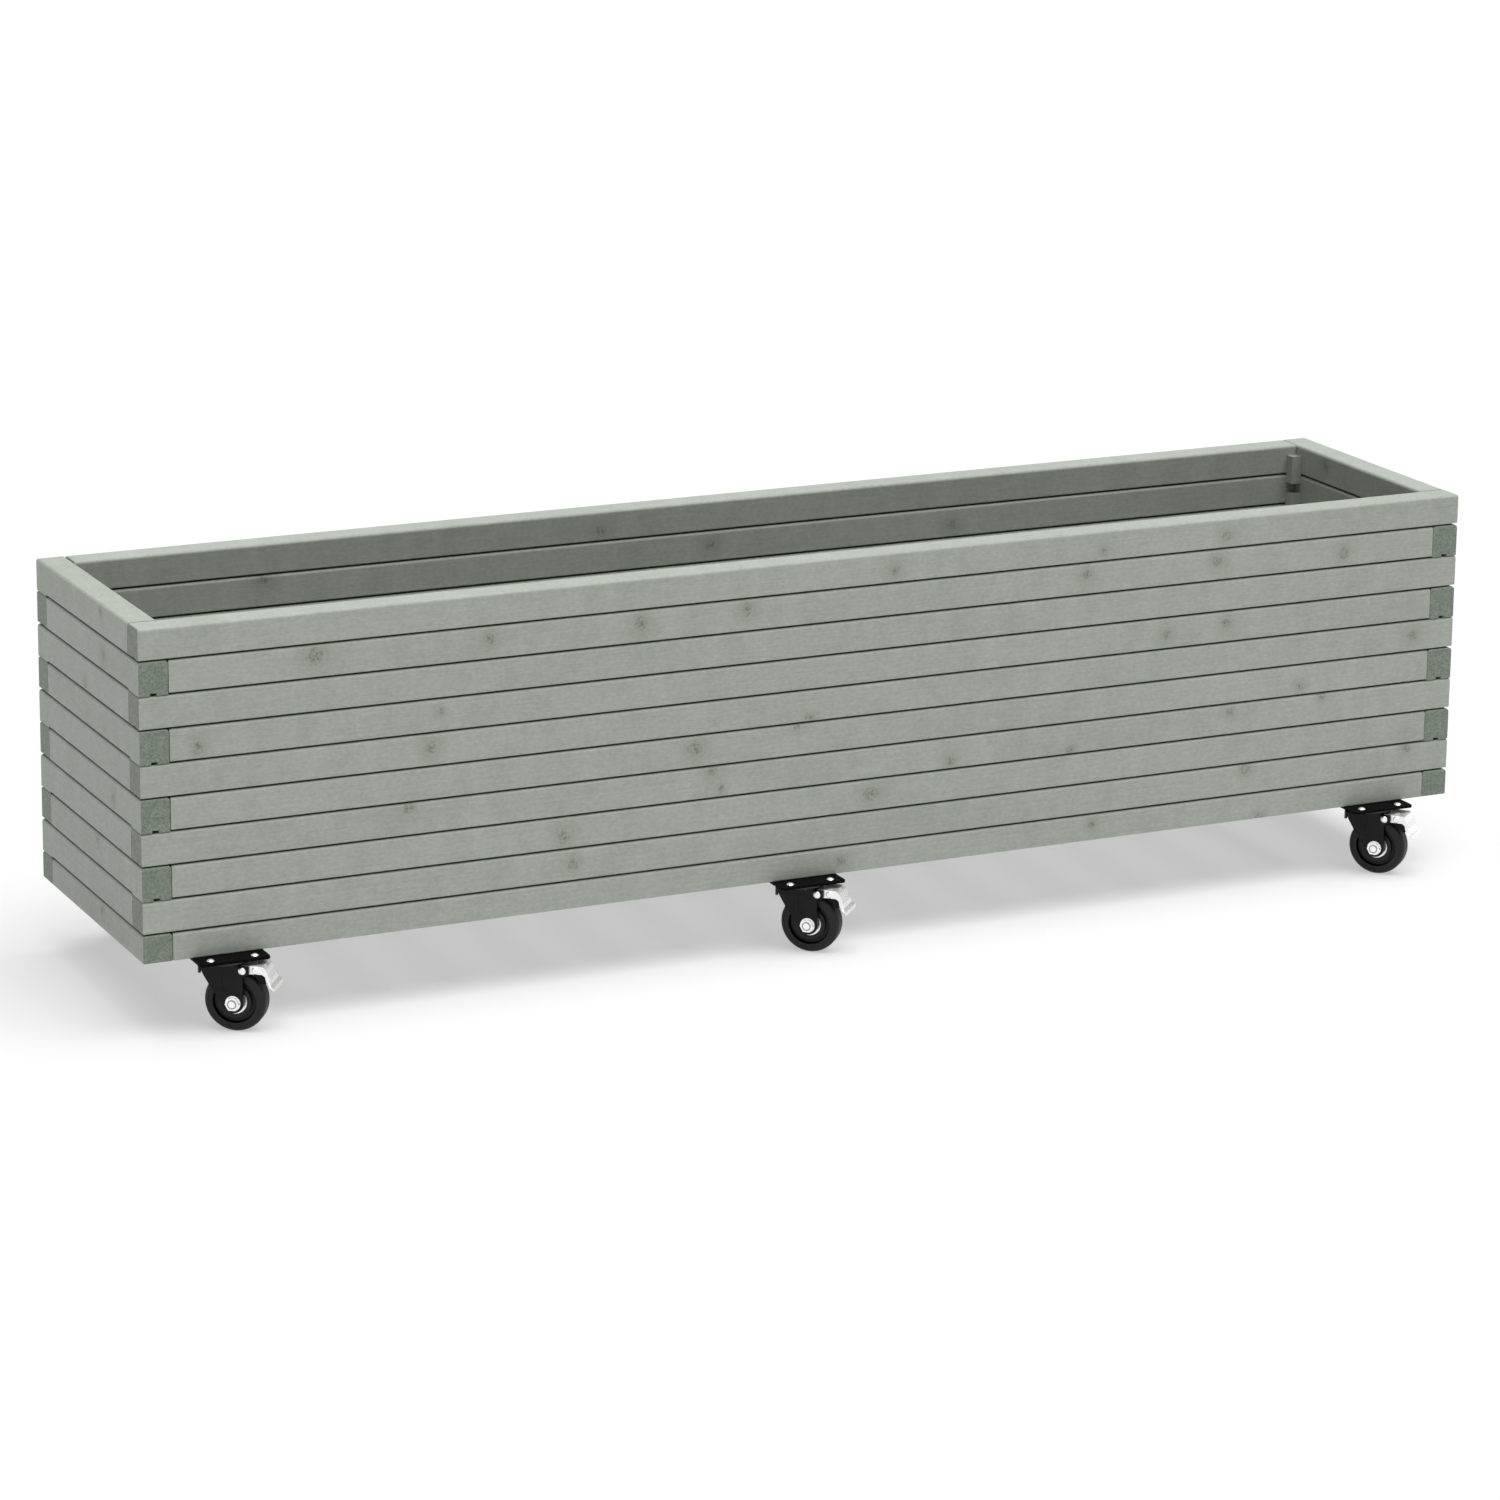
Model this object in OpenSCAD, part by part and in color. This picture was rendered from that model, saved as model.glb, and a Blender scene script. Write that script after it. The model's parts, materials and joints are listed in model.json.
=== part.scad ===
/* [Trough] */
// Outside length of the timber trough
trough_length = 1800; // [1500:10:2400]
// Outside width of the timber trough
trough_width = 378; // [340:1:460]
// Thickness of every timber rail
rail_thickness = 36; // [34:0.5:40]
// Height of the planed top rails
top_rail_height = 38; // [35:0.5:44]
// Height of the rails between the top and the bottom course
middle_rail_height = 39.3; // [36:0.1:44]
// Height of the bottom rails
bottom_rail_height = 34; // [32:0.5:42]
// Open joint between two courses
course_gap = 2; // [1.2:0.1:3]
// Open joint where the end of a rail meets the face of another
butt_gap = 0.8; // [0.4:0.1:0.9]
// Radius of the rounded upper edges of a rail
upper_edge_radius = 4; // [2:0.5:5]
// Radius of the eased lower edges of a rail
lower_edge_radius = 1.5; // [1:0.25:3]
// Radius of the eased upper edge at the end of a rail
end_edge_radius = 2.4; // [1.5:0.1:4]

/* [Tongue and groove] */
// Width of the groove along the underside of a rail
groove_width = 8.6; // [7:0.2:12]
// Depth of that groove
groove_depth = 1.5; // [1:0.1:2.5]
// Side clearance of a tongue in its groove
tongue_clearance = 0.3; // [0.1:0.05:0.6]
// Distance that a tongue stops short of the corner
tongue_setback = 6; // [3:1:20]

/* [Corner blocks] */
// Side of the square blocks in the inner corners
block_side = 14.5; // [12:0.5:18]
// Reach of a block above the joint that it bridges
block_above = 15.5; // [12:0.5:18]
// Reach of a block below the joint that it bridges
block_below = 10.5; // [8:0.5:14]
// Reach of the uppermost blocks above their joint
top_block_above = 25; // [18:0.5:28]

/* [Floor] */
// Thickness of the cleats that carry the floor slats
cleat_thickness = 20; // [16:1:26]
// Height of the cleats
cleat_height = 22; // [18:1:23]
// Width of a floor slat
slat_width = 92; // [70:1:110]
// Thickness of a floor slat
slat_thickness = 18; // [14:1:22]
// Drainage gap between two slats, at least
slat_gap = 12; // [8:1:20]
// Clearance between a slat and the walls
slat_clearance = 0.8; // [0.5:0.1:0.9]
// Diameter of the slat screws
slat_screw_diameter = 4.5; // [3.5:0.5:6]
// Length of the slat screws
slat_screw_length = 34; // [28:1:36]

/* [Caster places] */
// Swivel centre of the left casters, from the left end
left_inset = 104; // [80:1:200]
// Swivel centre of the middle casters, left of the centre
middle_offset = 40; // [0:1:120]
// Swivel centre of the right casters, from the right end
right_inset = 111.5; // [80:1:200]
// Distance that a plate stands out beyond the face of the trough
plate_overhang = 29; // [26:1:31]
// Turn of the left casters, pedal away from the trough
left_turn = 35.5; // [0:0.5:90]
// Turn of the middle casters
middle_turn = 42.4; // [0:0.1:90]
// Turn of the right casters
right_turn = 49; // [0:0.5:90]

/* [Caster plate and swivel head] */
// Length of a top plate
plate_length = 88; // [80:1:100]
// Width of a top plate
plate_width = 64; // [60:1:70]
// Thickness of a top plate
plate_thickness = 3; // [2.5:0.1:4]
// Corner radius of a top plate
plate_corner_radius = 5; // [2:0.5:8]
// Fixing hole spacing along a plate
hole_spacing_x = 55; // [50:0.5:64]
// Fixing hole spacing across a plate
hole_spacing_y = 40; // [38:0.5:44]
// Diameter of the fixing holes
fixing_hole_diameter = 6.5; // [6:0.1:7.5]
// Height of the swivel head between plate and fork
head_height = 6; // [5:0.1:8]
// Radius of the zinc race ring of the swivel head
race_radius = 27.5; // [26:0.5:29]
// Diameter of the kingpin
kingpin_diameter = 10; // [8:0.5:12]

/* [Fork] */
// Thickness of the pressed fork sheet
fork_sheet = 2.5; // [2:0.1:3]
// Clearance between the wheel and a leg, on each side
leg_clearance = 3; // [2.5:0.1:4]
// Trail of the wheel axle in front of the swivel centre
trail = 12; // [10:0.5:14]
// Headroom between the wheel and the fork crown
wheel_headroom = 6.1; // [6:0.1:11]
// Radius of the round lower end of a leg
leg_end_radius = 12.5; // [11:0.5:14]
// Radius of the crown about the kingpin
crown_radius = 25.5; // [23:0.5:27]
// Reach of the crown behind the kingpin
crown_rear_reach = 34.5; // [32:0.5:36]
// Depth of the skirt that closes the back of the crown
skirt_depth = 13; // [9:0.5:14]
// Depth of the pressed channel in the outer face of a leg
channel_depth = 0.7; // [0.4:0.1:1]

/* [Wheel] */
// Wheel diameter
wheel_diameter = 75; // [70:1:80]
// Wheel width
wheel_width = 26; // [24:1:30]
// Radius of the round tread shoulders
shoulder_radius = 7; // [4:0.5:9]
// Outer radius of the dished ring in the wheel face
dish_outer_radius = 26; // [25:0.5:27]
// Inner radius of the dished ring in the wheel face
dish_inner_radius = 20.5; // [19:0.5:21.5]
// Depth of the dished ring
dish_depth = 4.5; // [2:0.5:5]
// Outer radius of a wheel bearing
bearing_radius = 15; // [14:0.1:16.5]
// Width of a wheel bearing
bearing_width = 7; // [6:0.5:9]
// Diameter of the axle bolt
axle_diameter = 8; // [7:0.5:10]
// Width across the corners of the axle bolt head
bolt_head_width = 17.5; // [16:0.5:19]

/* [Brake] */
// Distance of the brake pivot in front of the kingpin
pivot_reach = 23; // [23:0.5:25]
// Depth of the brake pivot below the crown top
pivot_drop = 6.2; // [6:0.1:7]
// Diameter of the brake pivot pin
pivot_diameter = 5; // [4:0.5:6]
// Angle that the pedal travels from free to braked
brake_travel = 10; // [6:0.5:12]
// Thickness of the lever sheet
lever_sheet = 2; // [1.5:0.1:2.5]
// Width of the foot pedal
pedal_width = 42; // [36:1:46]

/* [Hidden] */
$fn = 48;
cut = 1;
course_count = 10;
caster_positions = ["front_left", "front_mid", "front_right", "back_left", "back_mid", "back_right"];

// Clearances between pieces
running_clearance = 0.05;
fixed_clearance = 0.02;
face_gap = 0.3;

// Heights, with the floor at zero
caster_height = plate_thickness + head_height + fork_sheet + wheel_headroom + wheel_diameter;
course_pitch = middle_rail_height + course_gap;
inner_length = trough_length - 2 * rail_thickness;
inner_width = trough_width - 2 * rail_thickness;

// The lower edge of a course, counted from the top, above the underside of the trough
function course_base(n) =
    n == course_count ? 0 : bottom_rail_height + course_gap + (course_count - 1 - n) * course_pitch;
function course_height(n) =
    n == 1 ? top_rail_height : n == course_count ? bottom_rail_height : middle_rail_height;

// Floor of slats
block_free_length = inner_length - 2 * block_side - 2 * slat_clearance;
slat_count = floor((block_free_length + slat_gap) / (slat_width + slat_gap));
slat_pitch = (block_free_length - slat_width) / (slat_count - 1);
slat_length = inner_width - 2 * slat_clearance;
slat_head_radius = slat_screw_diameter;
slat_head_depth = slat_screw_diameter / 2;

// Caster heights, with the underside of the trough at zero
crown_top = -(plate_thickness + head_height);
crown_underside = crown_top - fork_sheet;
axle_z = wheel_diameter / 2 - caster_height;
pivot_z = crown_top - pivot_drop;

// Fork widths, from the middle plane of the wheel
leg_inner = wheel_width / 2 + leg_clearance;
leg_outer = leg_inner + fork_sheet;
crown_edge_radius = 4;
web_front = 19.5;
kingpin_head_radius = 8;
kingpin_head_height = 2.5;

// Side outline of a fork leg, its points below the crown top
leg_rear_reach = sqrt(crown_rear_reach * crown_rear_reach - leg_outer * leg_outer);
leg_shoulder = [-25, -11.5];
leg_knee = [-17, -25];
leg_waist = [-10.5, -34.5];
leg_front_reach = 23.5;
ear_reach = pivot_reach + 8.2;
ear_depth = 11.5;
ear_corner_radius = 3;
ear_fillet_radius = 4.5;
skirt_corner_radius = 6;

// Pressed channel in a leg, its heights below the crown top
channel_top = -4.5;
channel_bottom = -32;
channel_rear = -1;
channel_front = 11;
channel_end_radius = 3.8;

// Brake lever, in the middle plane of the wheel, as (forward, up)
arm_outer = leg_inner - 0.8;
arm_inner = arm_outer - lever_sheet;
arm_eye_radius = 4.8;
lever_top = crown_top;
lever_rear = pivot_reach - 1;
arm_bottom = pivot_z - 3.8;

// The middle of the pedal sheet from the top bend over the foot pad to the turned-down lip
pedal_rear = 44.5;
pedal_line = [
    [pedal_rear, lever_top - lever_sheet / 2], [46.5, lever_top - 1], [48.5, lever_top - 2],
    [50, lever_top - 4], [52.5, lever_top - 9.5], [55, lever_top - 16.5], [57, lever_top - 21.5],
    [58.6, lever_top - 23.6], [61, lever_top - 25], [62.5, lever_top - 28.4]
];
pedal_neck_half_width = 16;
pedal_flare_top = lever_top - 11;
pedal_flare_height = 12;
pedal_corner_radius = 4;
rib_count = 4;
rib_radius = 0.6;

// The rear edges of the side arms down behind the pedal
arm_rear_edge = [[56.5, lever_top - 24], [51.6, lever_top - 19], [50.3, lever_top - 12.5], [46.5, arm_bottom]];

shoe_rivet = [38.5, lever_top - 5.5];
shoe_rivet_radius = 2;
shoe_rivet_head_radius = 4.5;
shoe_half_width = arm_inner - face_gap;
shoe_rear = 28.5;
shoe_front = 50.5;
shoe_bottom = lever_top - 22;
shoe_slope_width = 6;
shoe_front_height = 8;

// Fasteners of a plate
screw_radius = fixing_hole_diameter / 2 - 0.25;
screw_head_radius = 4.7;
screw_head_height = 2.2;
screw_depth = 28;
stud_foot_height = 1.2;
stud_foot_radius = 3.9;

// ---- Timber trough ----

// A strip of the given size with round lower and upper corners
module eased_rectangle(width, height, lower, upper) {
    translate([0, lower]) square([width, height - lower - upper]);
    translate([lower, 0]) square([width - 2 * lower, height - upper]);
    translate([upper, lower]) square([width - 2 * upper, height - lower]);
    for (x = [lower, width - lower]) translate([x, lower]) circle(lower);
    for (x = [upper, width - upper]) translate([x, height - upper]) circle(upper);
}

// A bar along X with every long edge and the edges of its ends eased
module eased_bar(length, height) {
    intersection() {
        rotate([90, 0, 90]) linear_extrude(length)
            eased_rectangle(rail_thickness, height, lower_edge_radius, upper_edge_radius);
        translate([0, rail_thickness, 0]) rotate([90, 0, 0]) linear_extrude(rail_thickness)
            eased_rectangle(length, height, lower_edge_radius, end_edge_radius);
    }
}

// A rail along X, from the outer face inwards along Y. A lapped rail has a foot at its near end,
// which closes the open joint over the rail that it rests on.
module rail(length, n, lapped = false) {
    difference() {
        union() {
            eased_bar(length, course_height(n));
            if (lapped && n < course_count)
                translate([0, 0, -course_gap]) eased_bar(rail_thickness, course_gap + course_height(n));
        }
        if (n < course_count)
            translate([-cut, (rail_thickness - groove_width) / 2, -course_gap - cut])
                cube([length + 2 * cut, groove_width, cut + course_gap + groove_depth]);
    }
}

// The tongue on a rail, over the clear span between two corners
module tongue(span, n) {
    width = groove_width - 2 * tongue_clearance;
    height = course_gap + groove_depth;
    if (n > 1)
        translate([-span / 2 + tongue_setback, (rail_thickness - width) / 2, course_height(n) - cut])
            cube([span - 2 * tongue_setback, width, height + cut]);
}

// One course: the long rail on one side runs through, the other three butt against it
module odd_course(n) {
    inner_rail = inner_length - 2 * butt_gap;
    side_rail = trough_width - rail_thickness - butt_gap;
    translate([0, -trough_width / 2, 0]) {
        translate([-trough_length / 2, 0, 0]) rail(trough_length, n);
        tongue(inner_length, n);
    }
    translate([0, trough_width / 2, 0]) mirror([0, 1, 0]) {
        translate([-inner_rail / 2, 0, 0]) rail(inner_rail, n);
        tongue(inner_length, n);
    }
    for (side = [0, 1]) mirror([side, 0, 0]) translate([-trough_length / 2, 0, 0]) rotate([0, 0, -90]) {
        translate([-trough_width / 2, 0, 0]) rail(side_rail, n, lapped = true);
        tongue(inner_width, n);
    }
}

module course(n) {
    translate([0, 0, caster_height + course_base(n)]) {
        if (n % 2 == 1) odd_course(n);
        if (n % 2 == 0) mirror([0, 1, 0]) odd_course(n);
    }
}

module bottom_course() {
    difference() {
        course(course_count);
        at_each_plate() at_inner_holes()
            translate([0, 0, -cut])
                cylinder(r = screw_radius + fixed_clearance, h = screw_depth + cut + face_gap);
    }
}

// Square blocks in the four inner corners, one over each open joint
module corner_blocks() {
    color("darkseagreen")
    for (n = [1 : course_count - 1], x = [-1, 1], y = [-1, 1]) {
        joint_top = caster_height + course_base(n);
        above = n == 1 ? top_block_above : block_above;
        height = above + course_gap + block_below;
        translate([x * (inner_length - block_side) / 2, y * (inner_width - block_side) / 2,
                   joint_top + above - height / 2])
            cube([block_side, block_side, height], center = true);
    }
}

module floor_cleats() {
    color("burlywood")
    difference() {
        for (y = [-1, 1])
            translate([-block_free_length / 2, y * (inner_width - cleat_thickness) / 2 - cleat_thickness / 2,
                       caster_height])
                cube([block_free_length, cleat_thickness, cleat_height]);
        at_slat_screws() slat_screw(fixed_clearance);
    }
}

// A slat screw with its countersunk head flush with the slat, grown by a clearance for its hole
module slat_screw(growth) {
    translate([0, 0, -slat_screw_length]) cylinder(d = slat_screw_diameter + 2 * growth, h = slat_screw_length);
    translate([0, 0, -slat_head_depth])
        cylinder(r1 = slat_screw_diameter / 2 + growth, r2 = slat_head_radius + growth, h = slat_head_depth);
}

module at_slat_screws() {
    for (i = [0 : slat_count - 1], y = [-1, 1])
        translate([(i - (slat_count - 1) / 2) * slat_pitch, y * (inner_width - cleat_thickness) / 2,
                   caster_height + cleat_height + slat_thickness])
            children();
}

module floor_slats() {
    color("tan")
    difference() {
        for (i = [0 : slat_count - 1])
            translate([(i - (slat_count - 1) / 2) * slat_pitch - slat_width / 2, -slat_length / 2,
                       caster_height + cleat_height])
                cube([slat_width, slat_length, slat_thickness]);
        at_slat_screws() slat_screw(fixed_clearance);
    }
}

module slat_screws() {
    color("silver") at_slat_screws() slat_screw(0);
}

// ---- Places of the casters ----

function caster_x(i) = [left_inset - trough_length / 2, -middle_offset, trough_length / 2 - right_inset][i % 3];
function caster_turn(i) = [left_turn, middle_turn, right_turn][i % 3];
caster_y = trough_width / 2 + plate_overhang - plate_width / 2;

// Places children at the swivel centre, at the underside of the trough, with the near side outwards
module at_plate(i) {
    mirror([0, i < 3 ? 0 : 1, 0]) translate([caster_x(i), -caster_y, caster_height]) children();
}

module at_each_plate() {
    for (i = [0 : len(caster_positions) - 1]) at_plate(i) children();
}

// Places children in the swivelling frame: forward along X, bolt head towards -Y
module at_fork(i) {
    at_plate(i) rotate([0, 0, -caster_turn(i)]) children();
}

module at_inner_holes() {
    for (x = [-1, 1]) translate([x * hole_spacing_x / 2, hole_spacing_y / 2, 0]) children();
}

module at_outer_holes() {
    for (x = [-1, 1]) translate([x * hole_spacing_x / 2, -hole_spacing_y / 2, 0]) children();
}

// ---- Fixed half of a caster ----

module rounded_plate(length, width, radius, thickness) {
    linear_extrude(thickness) {
        square([length - 2 * radius, width], center = true);
        square([length, width - 2 * radius], center = true);
        for (x = [-1, 1], y = [-1, 1])
            translate([x * (length / 2 - radius), y * (width / 2 - radius)]) circle(radius);
    }
}

// The countersunk upper end of a kingpin
module kingpin_top(growth) {
    seat_depth = plate_thickness * 0.8;
    translate([0, 0, -seat_depth])
        cylinder(r1 = kingpin_diameter / 2 + growth, r2 = kingpin_head_radius + growth, h = seat_depth);
}

module caster_plates() {
    color("dimgray")
    at_each_plate() difference() {
        translate([0, 0, -plate_thickness])
            rounded_plate(plate_length, plate_width, plate_corner_radius, plate_thickness);
        translate([0, 0, -plate_thickness - cut])
            cylinder(d = kingpin_diameter + 2 * fixed_clearance, h = plate_thickness + 2 * cut);
        kingpin_top(fixed_clearance);
        for (x = [-1, 1], y = [-1, 1])
            translate([x * hole_spacing_x / 2, y * hole_spacing_y / 2, -plate_thickness - cut])
                cylinder(d = fixing_hole_diameter, h = plate_thickness + 2 * cut);
    }
}

module swivel_rings() {
    ring_height = head_height - face_gap;
    lip_height = 2.2;
    lip_setback = 1.8;
    bore_radius = kingpin_diameter / 2 + fixed_clearance;
    color("silver")
    at_each_plate() translate([0, 0, -plate_thickness]) rotate_extrude()
        polygon([
            [bore_radius, 0], [race_radius, 0], [race_radius, -ring_height + lip_height],
            [race_radius - lip_setback, -ring_height], [bore_radius, -ring_height]
        ]);
}

module kingpins() {
    head_top = crown_underside - face_gap;
    color("silver")
    at_each_plate() {
        kingpin_top(0);
        translate([0, 0, head_top - cut]) cylinder(d = kingpin_diameter, h = -head_top + cut);
        translate([0, 0, head_top - kingpin_head_height])
            cylinder(r1 = kingpin_head_radius - 1.5, r2 = kingpin_head_radius, h = kingpin_head_height);
    }
}

// Wood screws into the bottom rail at the inner holes, round-headed studs in the outer holes
module plate_screws() {
    color("silver")
    at_each_plate() {
        at_inner_holes() {
            translate([0, 0, -plate_thickness - cut])
                cylinder(r = screw_radius, h = screw_depth + plate_thickness + cut);
            translate([0, 0, -plate_thickness]) mirror([0, 0, 1]) domed_head();
        }
        at_outer_holes() {
            translate([0, 0, -plate_thickness - stud_foot_height])
                cylinder(r = screw_radius, h = plate_thickness + stud_foot_height + cut);
            translate([0, 0, -plate_thickness - stud_foot_height])
                cylinder(r = stud_foot_radius, h = stud_foot_height);
            domed_head();
        }
    }
}

// A low round head standing on the plane z = 0
module domed_head() {
    cap_radius = (screw_head_radius * screw_head_radius + screw_head_height * screw_head_height)
        / (2 * screw_head_height);
    intersection() {
        translate([0, 0, screw_head_height - cap_radius]) sphere(cap_radius);
        cylinder(r = screw_head_radius, h = screw_head_height);
    }
}

// ---- Swivelling half of a caster ----

// Stands a side outline, drawn as (forward, up), at a distance from the middle plane
module side_plate(from, thickness) {
    translate([0, from + thickness, 0]) rotate([90, 0, 0]) linear_extrude(thickness) children();
}

module both_sides() {
    children();
    mirror([0, 1, 0]) children();
}

module across(radius, half_width) {
    translate([0, half_width, 0]) rotate([90, 0, 0]) cylinder(r = radius, h = 2 * half_width);
}

// The point where a line from p touches the circle, on the side given by the sign
function tangent_point(centre, radius, p, side) =
    let (d = p - centre, lean = atan2(d[1], d[0]) + side * acos(radius / norm(d)))
    centre + radius * [cos(lean), sin(lean)];

module leg_outline() {
    axle = [trail, axle_z];
    edge_radius = leg_end_radius - 0.1;
    waist = [leg_waist[0], crown_top + leg_waist[1]];
    front_waist = [leg_front_reach, crown_top - ear_depth - 2 * ear_fillet_radius];
    ear_bottom = crown_top - ear_depth;
    polygon([
        [-leg_rear_reach, crown_top], [leg_shoulder[0], crown_top + leg_shoulder[1]],
        [leg_knee[0], crown_top + leg_knee[1]], waist,
        tangent_point(axle, edge_radius, waist, 1), axle,
        tangent_point(axle, edge_radius, front_waist, -1), front_waist,
        [leg_front_reach, crown_top]
    ]);
    translate(axle) circle(leg_end_radius);
    translate([0, ear_bottom]) {
        square([ear_reach - ear_corner_radius, ear_depth]);
        translate([0, ear_corner_radius]) square([ear_reach, ear_depth - ear_corner_radius]);
        translate([ear_reach - ear_corner_radius, ear_corner_radius]) circle(ear_corner_radius);
        translate([leg_front_reach, -ear_fillet_radius]) difference() {
            square(ear_fillet_radius);
            translate([ear_fillet_radius, 0]) circle(ear_fillet_radius);
        }
    }
}

// The rounded outside of the bent sheet, seen from the front
module fork_envelope() {
    translate([-crown_rear_reach - cut, 0, 0]) rotate([90, 0, 90])
        linear_extrude(crown_rear_reach + ear_reach + 2 * cut) {
            translate([-leg_outer, -caster_height])
                square([2 * leg_outer, caster_height + crown_top - crown_edge_radius]);
            translate([crown_edge_radius - leg_outer, -caster_height])
                square([2 * (leg_outer - crown_edge_radius), caster_height + crown_top]);
            for (y = [-1, 1])
                translate([y * (leg_outer - crown_edge_radius), crown_top - crown_edge_radius])
                    circle(crown_edge_radius);
        }
}

// The outline of the skirt from behind, with round lower corners
module skirt_outline() {
    inner = leg_outer - skirt_corner_radius;
    translate([-leg_outer, crown_top - skirt_depth + skirt_corner_radius])
        square([2 * leg_outer, skirt_depth - skirt_corner_radius]);
    translate([-inner, crown_top - skirt_depth]) square([2 * inner, skirt_depth]);
    for (y = [-inner, inner])
        translate([y, crown_top - skirt_depth + skirt_corner_radius]) circle(skirt_corner_radius);
}

module rear_skirt() {
    intersection() {
        translate([0, 0, crown_top - skirt_depth]) difference() {
            cylinder(r = crown_rear_reach, h = skirt_depth);
            translate([0, 0, -cut]) cylinder(r = crown_rear_reach - fork_sheet, h = skirt_depth + 2 * cut);
        }
        translate([-crown_rear_reach - cut, 0, 0]) rotate([90, 0, 90])
            linear_extrude(crown_rear_reach) skirt_outline();
    }
}

// The channel runs from the crown to its round end above the axle
module channel_outline() {
    end = [channel_rear + channel_end_radius, crown_top + channel_bottom + channel_end_radius];
    polygon([
        [channel_rear, crown_top + channel_top], [channel_rear, end[1]], end,
        tangent_point(end, channel_end_radius - 0.1, [channel_front, crown_top + channel_top], -1),
        [channel_front, crown_top + channel_top]
    ]);
    translate(end) circle(channel_end_radius);
}

module fork(i) {
    color("black")
    at_fork(i) difference() {
        union() {
            translate([0, 0, crown_underside]) cylinder(r = crown_radius, h = fork_sheet);
            intersection() {
                fork_envelope();
                union() {
                    intersection() {
                        translate([-crown_rear_reach, -leg_outer, crown_underside])
                            cube([crown_rear_reach + web_front, 2 * leg_outer, fork_sheet]);
                        translate([0, 0, crown_underside]) cylinder(r = crown_rear_reach, h = fork_sheet);
                    }
                    rear_skirt();
                    both_sides() side_plate(leg_inner, fork_sheet) leg_outline();
                }
            }
        }
        translate([web_front, -leg_inner, crown_underside - cut])
            cube([crown_radius, 2 * leg_inner, fork_sheet + 2 * cut]);
        translate([0, 0, crown_underside - cut])
            cylinder(d = kingpin_diameter + 2 * running_clearance, h = fork_sheet + 2 * cut);
        translate([trail, 0, axle_z]) across(axle_diameter / 2 + fixed_clearance, leg_outer + cut);
        translate([pivot_reach, 0, pivot_z]) across(pivot_diameter / 2 + fixed_clearance, leg_outer + cut);
        both_sides() side_plate(leg_outer - channel_depth, channel_depth + cut) channel_outline();
    }
}

// Axle bolt with its head on the outer side and a nut on the inner side
module axle_bolt(i) {
    washer_thickness = 1.5;
    head_height = 4.5;
    centre_height = 0.8;
    centre_radius = 4.2;
    groove_radius = 5.7;
    groove_cut = 1.6;
    nut_height = 6;
    tip = leg_outer + washer_thickness + nut_height + 2;
    color("silver")
    at_fork(i) translate([trail, 0, axle_z]) rotate([90, 0, 0]) {
        translate([0, 0, -tip]) cylinder(d = axle_diameter, h = tip + leg_outer + cut);
        translate([0, 0, leg_outer]) {
            cylinder(d = bolt_head_width + 1, h = washer_thickness);
            translate([0, 0, washer_thickness]) {
                difference() {
                    cylinder(d = bolt_head_width, h = head_height, $fn = 6);
                    translate([0, 0, head_height - groove_cut]) cylinder(r = groove_radius, h = groove_cut + cut);
                }
                cylinder(r = centre_radius, h = head_height + centre_height);
            }
        }
        translate([0, 0, -leg_outer - washer_thickness - nut_height]) difference() {
            union() {
                cylinder(d = bolt_head_width - 1, h = nut_height, $fn = 6);
                translate([0, 0, nut_height]) cylinder(d = bolt_head_width + 1, h = washer_thickness);
            }
            translate([0, 0, -cut])
                cylinder(d = axle_diameter + 2 * fixed_clearance, h = nut_height + washer_thickness + 2 * cut);
        }
    }
}

// Riveted pin that carries the brake lever
module pivot_pin(i) {
    head_radius = 4.5;
    head_height = 1.8;
    cap_radius = (head_radius * head_radius + head_height * head_height) / (2 * head_height);
    color("silver")
    at_fork(i) translate([pivot_reach, 0, pivot_z]) {
        across(pivot_diameter / 2, leg_outer + cut / 2);
        both_sides() translate([0, leg_outer, 0]) rotate([-90, 0, 0]) intersection() {
            translate([0, 0, head_height - cap_radius]) sphere(cap_radius);
            cylinder(r = head_radius, h = head_height);
        }
    }
}

// ---- Wheel ----

module wheel(i) {
    half = wheel_width / 2;
    radius = wheel_diameter / 2;
    bore_radius = bearing_radius - 4;
    hub_half = half - 1;
    hub_edge = 1;
    color("black")
    at_fork(i) translate([trail, 0, axle_z]) rotate([90, 0, 0]) rotate_extrude() difference() {
        union() {
            translate([bore_radius, -half]) square([radius - shoulder_radius - bore_radius, 2 * half]);
            translate([bore_radius, -half + shoulder_radius])
                square([radius - bore_radius, 2 * (half - shoulder_radius)]);
            for (y = [-1, 1])
                translate([radius - shoulder_radius, y * (half - shoulder_radius)]) circle(shoulder_radius);
        }
        for (y = [0, 1]) mirror([0, y]) {
            polygon([
                [dish_inner_radius, half + cut], [dish_inner_radius, half - dish_depth],
                [dish_outer_radius - 1, half - dish_depth], [dish_outer_radius + hub_edge, half + cut]
            ]);
            translate([0, hub_half]) square([dish_inner_radius + hub_edge, cut + half]);
            translate([0, hub_half - bearing_width]) square([bearing_radius + fixed_clearance, half]);
        }
    }
}

// A sealed ball bearing in each face of the wheel, with its inner ring drawn out as a spacer
module bearing(i) {
    face = wheel_width / 2 - 1;
    shield_depth = 0.8;
    race_width = 2.2;
    inner_radius = axle_diameter / 2 + running_clearance;
    spacer_radius = axle_diameter / 2 + 3;
    color("silver")
    at_fork(i) translate([trail, 0, axle_z]) rotate([90, 0, 0]) both_ends() rotate_extrude()
        polygon([
            [inner_radius, face - bearing_width], [bearing_radius, face - bearing_width],
            [bearing_radius, face], [bearing_radius - race_width, face],
            [bearing_radius - race_width, face - shield_depth], [spacer_radius, face - shield_depth],
            [spacer_radius, leg_inner - face_gap], [inner_radius, leg_inner - face_gap]
        ]);
}

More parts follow.
